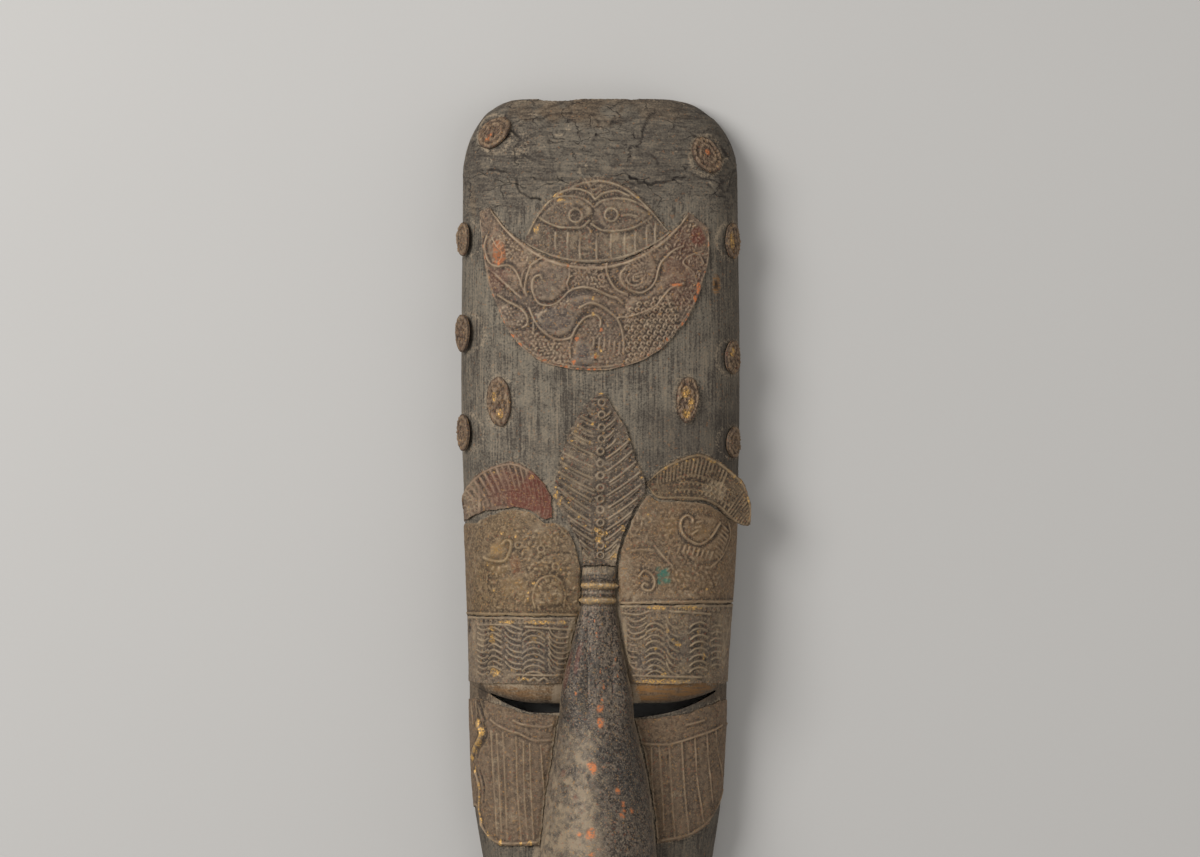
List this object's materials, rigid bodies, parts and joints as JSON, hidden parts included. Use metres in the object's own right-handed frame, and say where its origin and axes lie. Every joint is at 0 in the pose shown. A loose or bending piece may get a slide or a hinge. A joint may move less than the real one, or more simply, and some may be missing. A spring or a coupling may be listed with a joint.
{
  "type": "carved mask",
  "caption": "Long hollow wooden face mask with a tall forehead, heavy eyelids, open eye slits and a trumpet-shaped nose, dressed with beaten copper and brass sheets.",
  "frame": {"origin": "the middle of the flat back rim's plane, under the middle of the box around the mask", "axes": "+X is the viewer's right when facing the mask, +Y runs up the face to the top of the head, +Z looks out of the face; the mask lies on its back rim at z = 0"},
  "size_m": [0.1963, 0.64, 0.1057],
  "materials": {
    "wood": "dry, greyed and dusty, with cracks along the grain",
    "copper": "beaten copper sheet, dull brown-grey with bright worn edges",
    "dark_copper": "dark patinated copper sheet with small bright worn spots",
    "brass": "beaten brass sheet, dulled, with golden specks on the high spots",
    "red_copper": "beaten copper sheet with worn dark red paint"
  },
  "bodies": {
    "root": {"mask_body": "wood", "crescent_plate": "copper", "face_plaque": "copper", "leaf_plate": "copper", "eyebrow_plate_left": "red_copper", "eyebrow_plate_right": "copper", "eyelid_plate_left": "copper", "eyelid_plate_right": "copper", "eye_band_left": "brass", "eye_band_right": "brass", "cheek_plate_left": "copper", "cheek_plate_right": "copper", "nose_sheath": "dark_copper", "rosette_top_left": "brass", "rosette_top_right": "brass", "rosette_left_upper": "brass", "rosette_left_middle": "brass", "rosette_left_lower": "brass", "rosette_right_upper": "brass", "rosette_right_middle": "brass", "rosette_right_lower": "brass", "rosette_inner_left": "brass", "rosette_inner_right": "brass"}
  },
  "joints": []
}
